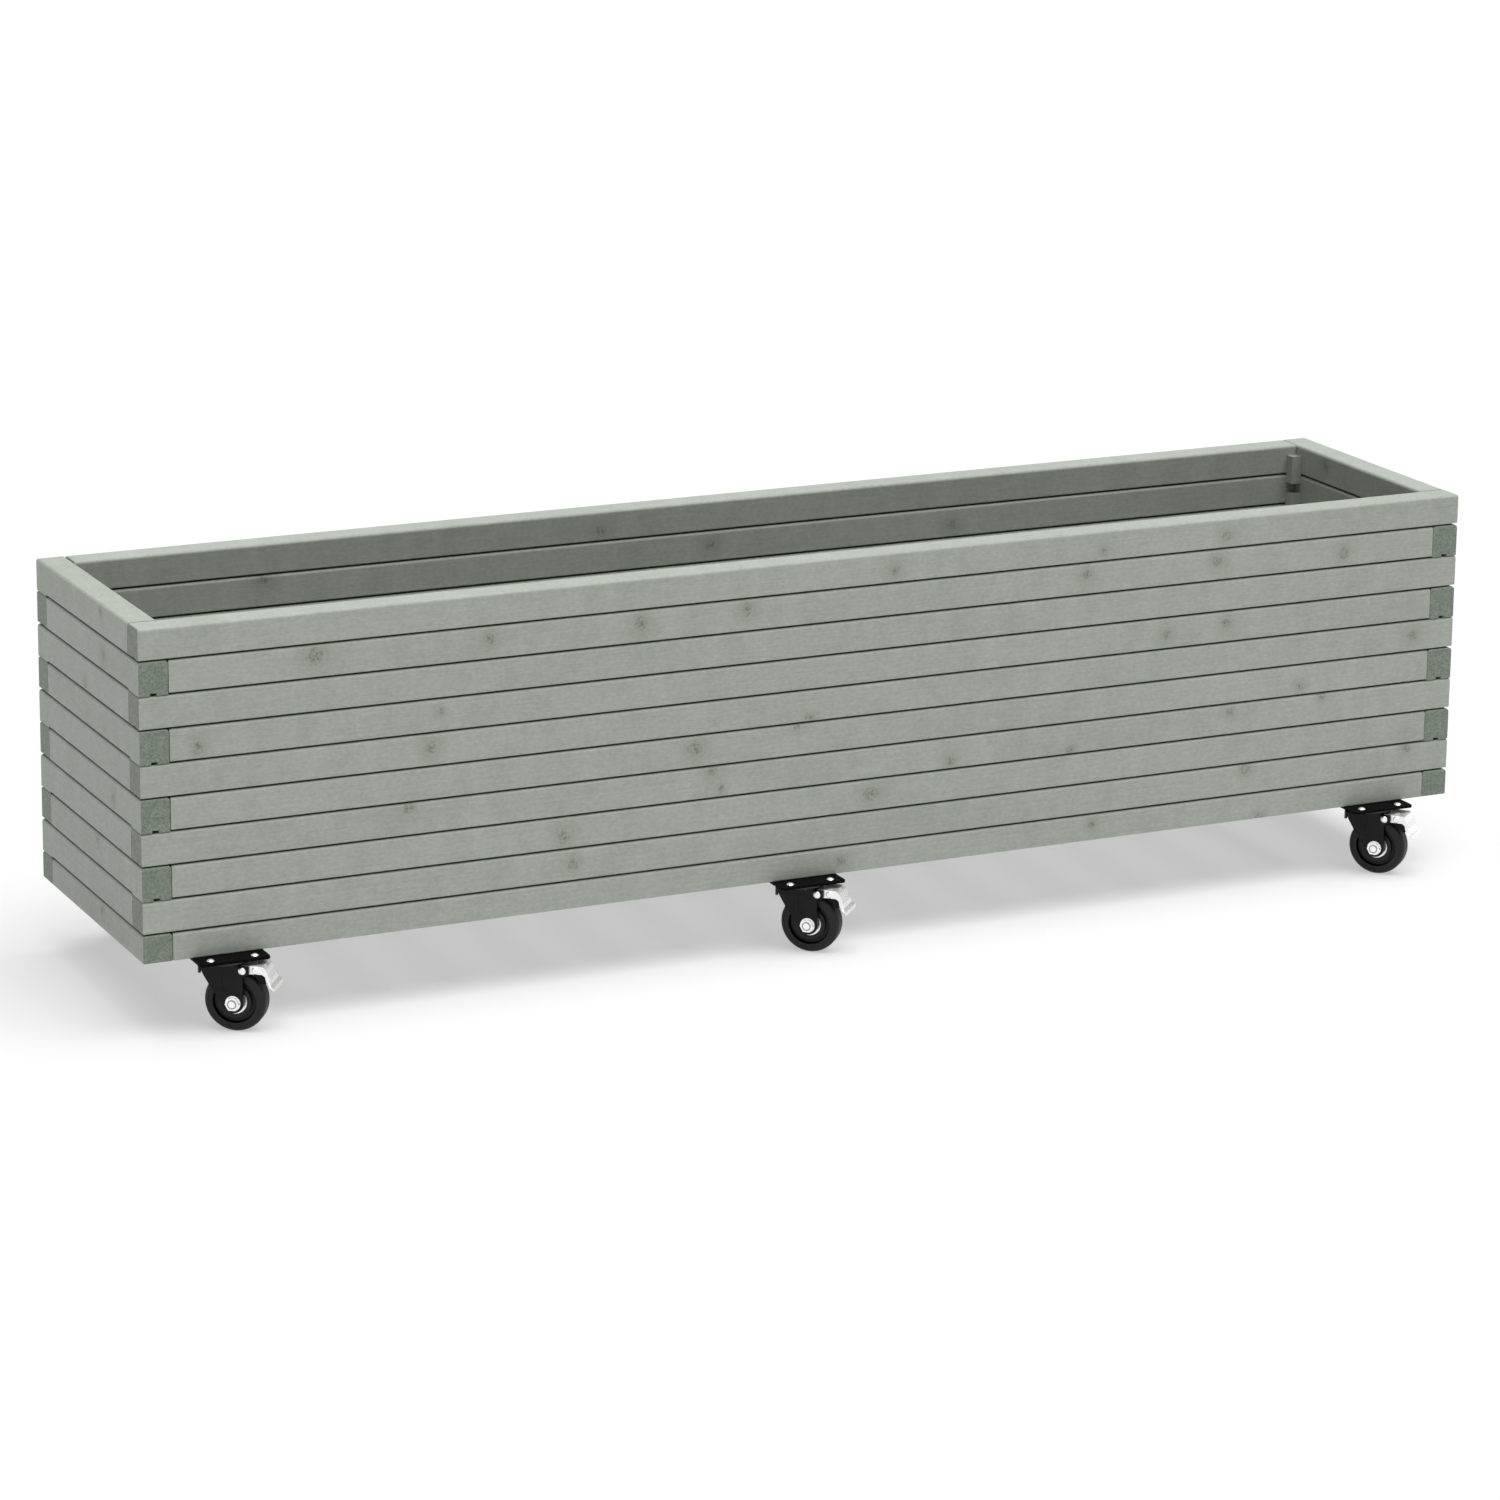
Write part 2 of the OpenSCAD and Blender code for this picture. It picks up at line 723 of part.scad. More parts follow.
module both_ends() {
    children();
    mirror([0, 0, 1]) children();
}

// ---- Brake ----

function turned_left(v) = [-v[1], v[0]] / norm(v);

// The point beside a corner of a line where the mitred edge of a bent sheet lies
function beside(line, j, distance) =
    let (last = len(line) - 1, before = j == 0 ? line[1] - line[0] : line[j] - line[j - 1],
         after = j == last ? before : line[j + 1] - line[j], sum = turned_left(before) + turned_left(after))
    line[j] + sum * 2 * distance / (sum * sum);

// The section of a bent sheet whose middle follows the given line
module bent_sheet(line, thickness) {
    last = len(line) - 1;
    polygon(concat(
        [for (j = [0 : last]) beside(line, j, thickness / 2)],
        [for (j = [0 : last]) beside(line, last - j, -thickness / 2)]
    ));
}

module arm_outline() {
    half = lever_sheet / 2;
    front_edge = [for (j = [0 : len(pedal_line) - 2]) pedal_line[j]];
    translate([pivot_reach, pivot_z]) circle(arm_eye_radius);
    polygon(concat(
        [[lever_rear + half, lever_top - half]],
        front_edge, arm_rear_edge,
        [[pivot_reach + 2 * arm_eye_radius, arm_bottom], [pivot_reach, pivot_z - arm_eye_radius]]
    ));
}

// What the pedal leaves out on one side: narrow above, flared to the foot pad, round at the toe
module pedal_waste() {
    half = pedal_width / 2;
    flare = half - pedal_neck_half_width;
    flare_radius = (flare * flare + pedal_flare_height * pedal_flare_height) / (2 * flare);
    toe = pedal_line[len(pedal_line) - 1];
    corner = [half - pedal_corner_radius, toe[1] + pedal_corner_radius];
    translate([pedal_neck_half_width, pedal_flare_top])
        square([flare + cut, lever_top - pedal_flare_top + cut]);
    translate([pedal_neck_half_width + flare_radius, pedal_flare_top]) circle(flare_radius, $fn = 96);
    difference() {
        translate(corner - [0, pedal_corner_radius + cut]) square(pedal_corner_radius + cut);
        translate(corner) circle(pedal_corner_radius);
    }
}

module pedal() {
    foot_pad = [pedal_line[4], pedal_line[5]];
    pad_run = foot_pad[1] - foot_pad[0];
    difference() {
        union() {
            side_plate(-pedal_width / 2, pedal_width) bent_sheet(pedal_line, lever_sheet);
            for (j = [0 : rib_count - 1]) {
                point = foot_pad[0] + pad_run * (j + 0.5) / rib_count + turned_left(pad_run) * lever_sheet / 2;
                translate([point[0], 0, point[1]]) across(rib_radius, pedal_width / 2 - pedal_corner_radius);
            }
        }
        both_sides() translate([pedal_rear - cut, 0, 0]) rotate([90, 0, 90])
            linear_extrude(pedal_width) pedal_waste();
    }
}

module brake_lever(i) {
    half = lever_sheet / 2;
    head_height = 1.2;
    color("gainsboro")
    at_fork(i) difference() {
        union() {
            both_sides() side_plate(arm_inner, lever_sheet) arm_outline();
            side_plate(-arm_outer, 2 * arm_outer) translate([lever_rear, lever_top - lever_sheet])
                square([pedal_rear + half - lever_rear, lever_sheet]);
            pedal();
            translate([shoe_rivet[0], 0, shoe_rivet[1]]) {
                across(shoe_rivet_radius, arm_outer);
                both_sides() translate([0, arm_outer, 0]) rotate([-90, 0, 0])
                    cylinder(r1 = shoe_rivet_head_radius, r2 = shoe_rivet_head_radius - head_height, h = head_height);
            }
        }
        translate([pivot_reach, 0, pivot_z]) across(pivot_diameter / 2 + running_clearance, leg_outer);
    }
}

// The shoe meets the tread over its whole face once the lever has travelled
module brake_shoe(i) {
    pivot = [pivot_reach, pivot_z];
    arm = [trail, axle_z] - pivot;
    centre = pivot + [arm[0] * cos(brake_travel) - arm[1] * sin(brake_travel),
                      arm[0] * sin(brake_travel) + arm[1] * cos(brake_travel)];
    top = lever_top - lever_sheet;
    color("black")
    at_fork(i) difference() {
        side_plate(-shoe_half_width, 2 * shoe_half_width) difference() {
            polygon([
                [shoe_rear, top], [shoe_front - shoe_slope_width, top],
                [shoe_front, shoe_bottom + shoe_front_height],
                [shoe_front, shoe_bottom], [shoe_rear, shoe_bottom]
            ]);
            translate(centre) circle(wheel_diameter / 2 + face_gap, $fn = 96);
        }
        translate([shoe_rivet[0], 0, shoe_rivet[1]])
            across(shoe_rivet_radius + fixed_clearance, shoe_half_width + cut);
    }
}

// ---- Assembly ----

for (n = [1 : course_count - 1])
    color("darkseagreen") course(n);
color("darkseagreen") bottom_course();  // course_10
corner_blocks();
floor_cleats();
floor_slats();
slat_screws();
caster_plates();
swivel_rings();
kingpins();
plate_screws();
for (i = [0 : len(caster_positions) - 1]) {
    fork(i);
    axle_bolt(i);
    pivot_pin(i);
    wheel(i);
    bearing(i);
    brake_lever(i);
    brake_shoe(i);
}
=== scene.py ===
"""A long timber planter on six braked swivel casters: finishes, light, floor and camera.

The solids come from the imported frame. Everything here is in metres, in the frame of the part:
+X along the trough, -Y towards the viewer, +Z up, and the floor at zero.
"""

from collections import namedtuple
import json
import math
import random

import bpy
from mathutils import Matrix, Vector


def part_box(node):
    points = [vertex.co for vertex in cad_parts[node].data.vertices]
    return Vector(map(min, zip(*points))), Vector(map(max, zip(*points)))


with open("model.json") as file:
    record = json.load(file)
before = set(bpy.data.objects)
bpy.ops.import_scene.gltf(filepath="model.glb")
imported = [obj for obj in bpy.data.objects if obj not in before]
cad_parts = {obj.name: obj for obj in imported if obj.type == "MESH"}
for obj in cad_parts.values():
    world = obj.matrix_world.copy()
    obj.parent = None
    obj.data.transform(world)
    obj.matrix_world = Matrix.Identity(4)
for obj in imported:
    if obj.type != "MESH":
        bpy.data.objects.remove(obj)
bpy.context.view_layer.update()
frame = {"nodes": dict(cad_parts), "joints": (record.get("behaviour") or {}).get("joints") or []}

# ---------------------------------------------------------------- sizes, pieces and joints

X, Y, Z = range(3)
PLACES = [f"{row}_{place}" for row in ("front", "back") for place in ("left", "mid", "right")]
COURSES = 10
COURSE_PITCH = 0.0413
RAIL_THICKNESS = 0.036
BUTT_GAP = 0.0008

joints = {joint["name"]: joint for joint in frame["joints"]}
_, trough_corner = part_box("course_01")
half_length = trough_corner.x
half_width = trough_corner.y

# Where the side rails begin: behind the long rails' ends, half way across the butt joint
side_plane = half_length - RAIL_THICKNESS - BUTT_GAP / 2
butt_plane = half_width - RAIL_THICKNESS - BUTT_GAP / 2


def course_name(number):
    return f"course_{number:02d}"


# ---------------------------------------------------------------- colours


def colour(red, green, blue):
    """A colour given as it looks on screen, 0 to 255, as the linear value that a shader takes."""
    def linear(level):
        level = level / 255
        return level / 12.92 if level <= 0.04045 else ((level + 0.055) / 1.055) ** 2.4
    return (linear(red), linear(green), linear(blue), 1.0)


def grey(level):
    """A neutral colour of a linear level."""
    return (level, level, level, 1.0)


SAGE_SHADE = colour(150, 158, 147)
SAGE_LIGHT = colour(182, 188, 180)
KNOT = colour(106, 113, 101)
KNOT_HALO = colour(146, 153, 140)
END_GREEN = colour(128, 139, 127)
END_PALE = colour(146, 153, 140)
END_DARK = colour(100, 112, 98)
# Painted shade on the level faces inside the joints between courses
JOINT_SHADE = colour(118, 126, 114)


# ---------------------------------------------------------------- a short way to build node trees

# A stretched noise: its repeats per metre along each of three axes, its detail and its roughness
Pattern = namedtuple("Pattern", "x y z detail roughness")


class Finish:
    """One material, with its Principled shader and short calls that add nodes to it."""

    def __init__(self, name, roughness=0.5, metallic=0.0, specular=0.5):
        self.material = bpy.data.materials.new(name)
        self.material.use_nodes = True
        self.tree = self.material.node_tree
        self.shader = self.tree.nodes["Principled BSDF"]
        self.shader.inputs["Roughness"].default_value = roughness
        self.shader.inputs["Metallic"].default_value = metallic
        self.shader.inputs["Specular IOR Level"].default_value = specular
        spot = self.node("TexCoord")
        self.point = spot.outputs["Object"]
        self.normal = spot.outputs["Normal"]

    def node(self, kind, inputs=None, **settings):
        made = self.tree.nodes.new("ShaderNode" + kind)
        for key, value in settings.items():
            setattr(made, key, value)
        for key, value in (inputs or {}).items():
            self.feed(value, made.inputs[key])
        return made

    def feed(self, value, socket):
        if isinstance(value, bpy.types.NodeSocket):
            self.tree.links.new(value, socket)
        else:
            socket.default_value = value

    def shade(self, **looks):
        """Feeds the shader's sockets, as in shade(roughness=value)."""
        for name, value in looks.items():
            self.feed(value, self.shader.inputs[name.replace("_", " ").title()])

    def math(self, operation, *values):
        return self.node("Math", dict(enumerate(values)), operation=operation).outputs[0]

    def vector(self, operation, *values):
        made = self.node("VectorMath", dict(enumerate(values)), operation=operation)
        return made.outputs["Value" if operation in ("LENGTH", "DOT_PRODUCT") else "Vector"]

    def join(self, x, y, z):
        return self.node("CombineXYZ", {0: x, 1: y, 2: z}).outputs[0]

    def split(self, vector):
        return self.node("SeparateXYZ", {0: vector}).outputs

    def total(self, parts, shares):
        """The sum of the named parts, each times its share."""
        summed = None
        for name, share in shares.items():
            part = self.math("MULTIPLY", parts[name], share)
            summed = part if summed is None else self.math("ADD", summed, part)
        return summed

    def ramp(self, value, at_zero, at_one):
        """Goes straight from at_zero to at_one as value goes from 0 to 1."""
        return self.math("MULTIPLY_ADD", value, at_one - at_zero, at_zero)

    def wave(self, angle):
        """A sine wave between 0 and 1."""
        return self.ramp(self.math("SINE", angle), 0.5, 1.0)

    def step(self, value, start, end, low=0.0, high=1.0):
        """A smooth step of value from low at start to high at end."""
        if start > end:
            start, end, low, high = end, start, high, low
        return self.node("MapRange", {0: value, 1: start, 2: end, 3: low, 4: high},
                         interpolation_type="SMOOTHSTEP").outputs[0]

    def band(self, value, start, end, edge):
        """1 where value is between start and end, fading to 0 over an edge inside each."""
        return self.math("MULTIPLY", self.step(value, start, start + edge),
                         self.step(value, end, end - edge))

    def blend(self, share, first, second):
        """Mixes two numbers."""
        return self.node("Mix", {0: share, 2: first, 3: second}).outputs[0]

    def tint(self, share, first, second):
        """Mixes two colours."""
        return self.node("Mix", {0: share, 6: first, 7: second}, data_type="RGBA").outputs[2]

    def noise(self, vector, scale, detail, roughness):
        return self.node("TexNoise", {"Vector": vector, "Scale": scale, "Detail": detail,
                                      "Roughness": roughness}).outputs[0]

    def patterned(self, pattern, x, y, z, seed=0.0):
        """A pattern's noise at x, y and z. The seed moves it along its own x."""
        point = self.join(self.math("MULTIPLY_ADD", x, pattern.x, seed),
                          self.math("MULTIPLY", y, pattern.y),
                          self.math("MULTIPLY", z, pattern.z))
        return self.noise(point, 1.0, pattern.detail, pattern.roughness)

    def bump(self, height, depth, strength):
        made = self.node("Bump", {"Height": height, "Strength": strength, "Distance": depth})
        self.shade(normal=made.outputs[0])

    def dress(self, *node_names):
        """Puts this finish on CAD nodes."""
        for name in node_names:
            for slot in frame["nodes"][name].material_slots:
                slot.material = self.material


# ---------------------------------------------------------------- painted timber

# Patterns with x along the rail, y across it and z up it
FIBRE = Pattern(18.0, 330.0, 330.0, 4.0, 0.66)  # streaks some 50 mm long, a few millimetres high
HAIR = Pattern(130.0, 1100.0, 1100.0, 2.0, 0.6)  # pores and raised hairs, shorter and finer
WOOL = Pattern(170.0, 260.0, 260.0, 4.0, 0.7)  # the woolly mottle of stain on sawn softwood
CLOUD = Pattern(26.0, 0.0, 9.0, 3.0, 0.6)  # the paint's cloudiness, laid across by the brush
DRIFT = Pattern(2.1, 0.0, 0.0, 1.0, 0.5)  # the slow drift of tone along a rail
CRACK = Pattern(380.0, 150.0, 260.0, 3.0, 0.65)  # the broken core of a knot

# Patterns of the end grain, with x across the rail, y along it and z up it
MOTTLE = Pattern(95.0, 1.0, 95.0, 3.0, 0.6)
FLECK = Pattern(330.0, 1.0, 330.0, 4.0, 0.7)

# What makes a knot's outline uneven, with y the rail's number, and its reach in knot radii
WANDER = Pattern(160.0, 1.0, 160.0, 2.0, 0.6)
WANDER_REACH = 0.45

# Shares of the patterns in the tone of the paint, and the sums at its darkest and at its palest
TONE_SHARES = dict(fibre=0.48, hair=0.24, wool=0.82, cloud=0.45, drift=0.40, ring=-0.04)
DARKEST = 0.87
PALEST = 1.51

# Shares of the patterns in the relief of the surface
RELIEF_SHARES = dict(fibre=0.5, hair=0.3, wool=0.3, cracked=-0.6)
RELIEF_DEPTH = 0.00035
RELIEF_STRENGTH = 0.55

TIMBER_ROUGHNESS = (0.46, 0.68)
TIMBER_SPECULAR = 0.35

# Where the noise of a pattern begins to count, and where it counts in full
CRACK_EDGE = (0.42, 0.64)
PALE_EDGE = (0.34, 0.72)
FLECK_EDGE = (0.40, 0.70)

# How much of a colour is laid over the one beneath, at the least and at the most
HALO_TINT = (0.35, 0.70)
CORE_TINT = (0.10, 0.82)
RING_TINT = (0.02, 0.44)

# Growth rings: their spacing, how far they stray, and how far the pith may lie off the middle
RING_SPACING = 0.0034
RING_WOBBLE = 0.0011
RING_MEANDER = 0.010
PITH_ACROSS = 0.045
PITH_UP = 0.050

# A knot's halo and its core fade out between these distances, in knot radii
HALO_EDGE = (0.35, 2.1)
CORE_EDGE = (0.15, 0.85)

# Ripples round a knot, in radians to a knot radius, and the rise of the fibre over its middle
RIPPLES = 15.0
KNOT_RISE = 0.005

# Distances in knot radii that stand for no knot at all and for a knot on another rail
FAR_FROM_KNOTS = 9.0
OTHER_RAIL = 50.0

# How squarely a face looks along its rail to be end grain, or up or down to be inside a joint,
# where it gets a painted shade
FACES_END = (0.55, 0.85)
FACES_SHADED_JOINT = (0.80, 0.97)

# Steps of the seed from rail to rail, from course to course and from level to level
RAIL_STEP = 7.31
COURSE_STEP = 31.7
LEVEL_STEP = 3.7

# The floor's figure changes from band to band, and the cleats' and blocks' only from side to side
FLOOR_BAND = 0.104
SIDE_BAND = 0.5


def growth_rings(finish, across, up, seed, fibre, drift):
    """Growth rings about a pith that lies somewhere in or near the section."""
    pith = finish.node("TexWhiteNoise", {"W": seed}, noise_dimensions="1D").outputs["Color"]
    pith_x, pith_y, _ = finish.split(pith)
    off_x = finish.math("ADD", across, finish.ramp(pith_x, -PITH_ACROSS, PITH_ACROSS))
    off_y = finish.math("ADD", up, finish.ramp(pith_y, -PITH_UP, PITH_UP))
    meander = finish.math("MULTIPLY", drift, RING_MEANDER)
    radius = finish.vector("LENGTH", finish.join(off_x, off_y, meander))
    wobble = finish.math("MULTIPLY", fibre, RING_WOBBLE)
    turns = finish.math("DIVIDE", finish.math("ADD", radius, wobble), RING_SPACING / math.tau)
    return finish.math("POWER", finish.wave(turns), 2.0)


def timber_figure(finish, along, across, up, end, seed, knots, joint=0.0):
    """Colour, bump and roughness of painted softwood.

    along, across and up are a rail's own coordinates, end is 1 on its end grain, seed is a number
    that differs from rail to rail, knots is the distance to the nearest knot in knot radii, and
    joint is 1 on the faces inside an open joint, which a painted shade colours darker."""
    halo = finish.step(knots, *HALO_EDGE, low=1.0, high=0.0)
    core = finish.step(knots, *CORE_EDGE, low=1.0, high=0.0)
    crack = finish.step(finish.patterned(CRACK, along, across, up, seed), *CRACK_EDGE)
    lifted = finish.math("ADD", up, finish.math("MULTIPLY", halo, KNOT_RISE))
    parts = dict(
        fibre=finish.patterned(FIBRE, along, across, lifted, seed),
        hair=finish.patterned(HAIR, along, across, lifted, seed),
        wool=finish.patterned(WOOL, along, across, up, seed),
        cloud=finish.patterned(CLOUD, along, across, up, seed),
        drift=finish.patterned(DRIFT, along, across, up, seed),
        cracked=finish.math("MULTIPLY", core, crack))
    parts["ring"] = growth_rings(finish, across, lifted, seed, parts["fibre"], parts["drift"])

    tone = finish.total(parts, TONE_SHARES)
    light = finish.node("MapRange", {0: tone, 1: DARKEST, 2: PALEST, 3: 0.0, 4: 1.0}).outputs[0]
    face = finish.tint(light, SAGE_SHADE, SAGE_LIGHT)

    # Knots: a rippled, darker halo in the fibre round a cracked, still darker core
    ripple = finish.wave(finish.math("MULTIPLY", knots, RIPPLES))
    halo_share = finish.math("MULTIPLY", halo, finish.ramp(ripple, *HALO_TINT))
    core_share = finish.math("MULTIPLY", core, finish.ramp(crack, *CORE_TINT))
    face = finish.tint(halo_share, face, KNOT_HALO)
    face = finish.tint(core_share, face, KNOT)

    # End grain drinks more stain: darker and flecked, with faint rings
    mottle = finish.patterned(MOTTLE, across, along, up, seed)
    fleck = finish.patterned(FLECK, across, along, up, seed)
    ring_share = finish.math("MULTIPLY", parts["ring"], finish.ramp(mottle, *RING_TINT))
    sawn = finish.tint(finish.step(mottle, *PALE_EDGE), END_GREEN, END_PALE)
    sawn = finish.tint(ring_share, sawn, END_DARK)
    sawn = finish.tint(finish.step(fleck, *FLECK_EDGE), sawn, END_DARK)

    finish.bump(finish.total(parts, RELIEF_SHARES), RELIEF_DEPTH, RELIEF_STRENGTH)
    # Painted shade: the faces inside a joint are coloured darker, as the shade there would make
    # them
    finish.shade(base_color=finish.tint(joint, finish.tint(end, face, sawn), JOINT_SHADE),
                 roughness=finish.ramp(parts["fibre"], *TIMBER_ROUGHNESS))


def nearest_knot(finish, along, up, rail, knots):
    """Distance to the nearest knot, in knot radii.

    Each knot is its rail, its place along the rail, its height, and its own width and height."""
    nearest = None
    for knot_rail, knot_along, knot_up, width, height in knots:
        gap_along = finish.math("DIVIDE", finish.math("SUBTRACT", along, knot_along), width / 2)
        gap_up = finish.math("DIVIDE", finish.math("SUBTRACT", up, knot_up), height / 2)
        other = finish.math("MULTIPLY", finish.math("SUBTRACT", rail, float(knot_rail)), OTHER_RAIL)
        reach = finish.vector("LENGTH", finish.join(gap_along, gap_up, other))
        nearest = reach if nearest is None else finish.math("MINIMUM", nearest, reach)
    wander = finish.patterned(WANDER, along, rail, up)
    return finish.math("ADD", nearest, finish.ramp(wander, -WANDER_REACH, WANDER_REACH))


FRONT, BACK, LEFT, RIGHT = range(4)

# Knots seen in the photograph: the course, the rail, the place along it, the height above the
# floor, and the knot's own width and height
SEEN_KNOTS = [
    (1, FRONT, 0.079, 0.474, 0.022, 0.022),
    (1, FRONT, 0.373, 0.471, 0.018, 0.016),
    (1, FRONT, 0.552, 0.474, 0.022, 0.020),
    (1, BACK, -0.166, 0.472, 0.026, 0.024),
    (2, FRONT, -0.683, 0.443, 0.034, 0.034),
    (2, FRONT, -0.462, 0.442, 0.022, 0.022),
    (2, FRONT, -0.264, 0.441, 0.026, 0.030),
    (2, FRONT, -0.123, 0.445, 0.024, 0.030),
    (2, FRONT, 0.350, 0.443, 0.022, 0.020),
    (2, FRONT, 0.539, 0.442, 0.024, 0.022),
    (2, FRONT, 0.728, 0.435, 0.022, 0.026),
    (2, BACK, -0.620, 0.453, 0.032, 0.024),
    (2, BACK, -0.012, 0.439, 0.026, 0.022),
    (2, BACK, 0.338, 0.433, 0.024, 0.020),
    (4, FRONT, -0.828, 0.348, 0.020, 0.028),
    (4, FRONT, -0.525, 0.359, 0.014, 0.014),
    (4, FRONT, 0.469, 0.352, 0.020, 0.022),
    (4, FRONT, 0.555, 0.360, 0.018, 0.020),
    (5, FRONT, -0.537, 0.316, 0.024, 0.026),
    (5, FRONT, -0.036, 0.299, 0.020, 0.014),
    (5, FRONT, 0.838, 0.315, 0.022, 0.022),
    (6, FRONT, -0.191, 0.276, 0.032, 0.028),
    (6, FRONT, -0.053, 0.289, 0.016, 0.014),
    (6, FRONT, 0.669, 0.264, 0.020, 0.018),
    (7, FRONT, -0.566, 0.245, 0.024, 0.026),
    (7, FRONT, -0.168, 0.247, 0.022, 0.024),
    (7, FRONT, -0.156, 0.221, 0.014, 0.016),
    (7, FRONT, 0.162, 0.220, 0.022, 0.020),
    (7, FRONT, 0.333, 0.216, 0.018, 0.016),
    (7, FRONT, 0.704, 0.247, 0.018, 0.016),
    (7, FRONT, 0.565, 0.240, 0.018, 0.018),
    (8, FRONT, -0.365, 0.185, 0.026, 0.030),
    (8, FRONT, 0.050, 0.191, 0.032, 0.026),
    (9, FRONT, -0.353, 0.149, 0.022, 0.022),
    (9, FRONT, 0.591, 0.161, 0.022, 0.020),
    (9, FRONT, 0.836, 0.163, 0.020, 0.022),
    (10, FRONT, 0.010, 0.108, 0.022, 0.020),
    (10, FRONT, 0.366, 0.113, 0.016, 0.016),
    (10, FRONT, 0.616, 0.096, 0.018, 0.014),
]

# Knots on the rails that the photograph hides: how many to a rail, how wide, how high as a share
# of the width, and where each lies in its share of the rail's length and in the rail's height
HIDDEN_KNOTS_SEED = 1000
LONG_RAIL_COUNTS = (3, 4, 5)
SHORT_RAIL_COUNTS = (0, 1, 1)
KNOT_SIZES = (0.016, 0.032)
KNOT_HEIGHTS = (0.8, 1.1)
KNOT_PLACES = (0.2, 0.8)


def unseen_knots(number, low, high):
    """Knots of the hidden rails: a few to each long one, and one to some of the short ones."""
    draw = random.Random(HIDDEN_KNOTS_SEED + number)
    knots = []
    seen_rails = {rail for course, rail, *_ in SEEN_KNOTS if course == number}
    for rail in (BACK, LEFT, RIGHT):
        reach = (half_length if rail == BACK else half_width) - RAIL_THICKNESS
        count = draw.choice(LONG_RAIL_COUNTS if rail == BACK else SHORT_RAIL_COUNTS)
        for index in range(count):
            cell = 2 * reach / count
            along = -reach + cell * (index + draw.uniform(*KNOT_PLACES))
            up = low + (high - low) * draw.uniform(*KNOT_PLACES)
            size = draw.uniform(*KNOT_SIZES)
            if rail not in seen_rails:
                knots.append((rail, along, up, size, size * draw.uniform(*KNOT_HEIGHTS)))
    return knots


def dress_course(number):
    """Four rails laid log-cabin fashion, each with its own figure.

    The long rail on one side covers the side rails' ends: the front one in odd courses, and the
    back one in even courses."""
    finish = Finish(f"painted_timber_{number:02d}", specular=TIMBER_SPECULAR)
    x, y, z = finish.split(finish.point)
    beyond_ends = finish.math("GREATER_THAN", finish.math("ABSOLUTE", x), side_plane)
    covered_end = -1.0 if number % 2 else 1.0
    inside_butt = finish.math("LESS_THAN", finish.math("MULTIPLY", y, covered_end), butt_plane)
    side = finish.math("MULTIPLY", beyond_ends, inside_butt)
    along = finish.blend(side, x, y)
    across = finish.blend(side, y, x)

    # FRONT or BACK where side is 0, LEFT or RIGHT where it is 1
    far = finish.math("GREATER_THAN", across, 0.0)
    rail = finish.math("MULTIPLY_ADD", side, float(LEFT), far)

    # Each rail's own middle, so that the pith lies near its section
    middle = finish.blend(side, half_width - RAIL_THICKNESS / 2, half_length - RAIL_THICKNESS / 2)
    centred = finish.math("SUBTRACT", finish.math("ABSOLUTE", across), middle)

    low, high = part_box(course_name(number))
    height = finish.math("SUBTRACT", z, (low.z + high.z) / 2)
    normal_x, normal_y, normal_z = finish.split(finish.normal)
    facing = finish.math("ABSOLUTE", finish.blend(side, normal_x, normal_y))
    end = finish.step(facing, *FACES_END)
    # Every level face inside a joint gets a painted shade; the planed top of the uppermost course,
    # in full light, gets none
    if number > 1:
        level = finish.math("ABSOLUTE", normal_z)
    else:
        level = finish.math("MULTIPLY", normal_z, -1.0)
    joint = finish.step(level, *FACES_SHADED_JOINT)
    seed = finish.math("MULTIPLY_ADD", rail, RAIL_STEP, number * COURSE_STEP)

    knots = [knot[1:] for knot in SEEN_KNOTS if knot[0] == number]
    knots += unseen_knots(number, low.z, high.z)
    reach = nearest_knot(finish, along, z, rail, knots)
    timber_figure(finish, along, centred, height, end, seed, reach, joint)
    finish.dress(course_name(number))


def dress_boards(name, long_axis, thickness_axis, band):
    """Loose boards: slats, cleats and corner blocks, whose figure changes from band to band."""
    finish = Finish(f"painted_{name}", specular=TIMBER_SPECULAR)
    coordinates = finish.split(finish.point)
    normals = finish.split(finish.normal)
    along = coordinates[long_axis]
    across = coordinates[X + Y + Z - long_axis - thickness_axis]
    up = coordinates[thickness_axis]
    board = finish.math("FLOOR", finish.math("DIVIDE", across, band))
    level = finish.math("FLOOR", finish.math("DIVIDE", coordinates[Z], COURSE_PITCH))
    seed = finish.math("MULTIPLY_ADD", board, RAIL_STEP, finish.math("MULTIPLY", level, LEVEL_STEP))
    within = finish.math("MULTIPLY_ADD", board, -band, finish.math("SUBTRACT", across, band / 2))
    end = finish.step(finish.math("ABSOLUTE", normals[long_axis]), *FACES_END)
    timber_figure(finish, along, within, up, end, seed, FAR_FROM_KNOTS)
    finish.dress(name)


for number in range(1, COURSES + 1):
    dress_course(number)
dress_boards("floor_slats", long_axis=Y, thickness_axis=Z, band=FLOOR_BAND)
dress_boards("floor_cleats", long_axis=X, thickness_axis=Z, band=SIDE_BAND)
dress_boards("corner_blocks", long_axis=Z, thickness_axis=X, band=SIDE_BAND)


# ---------------------------------------------------------------- casters

# Where a noise begins to count, and where it counts in full
HAZE_EDGE = (0.3, 0.7)
WEAR_EDGE = (0.35, 0.7)
DUST_EDGE = (0.45, 0.75)

ZINC_DARK = (0.94, 0.945, 0.95, 1.0)
ZINC_PALE = (0.97, 0.97, 0.965, 1.0)
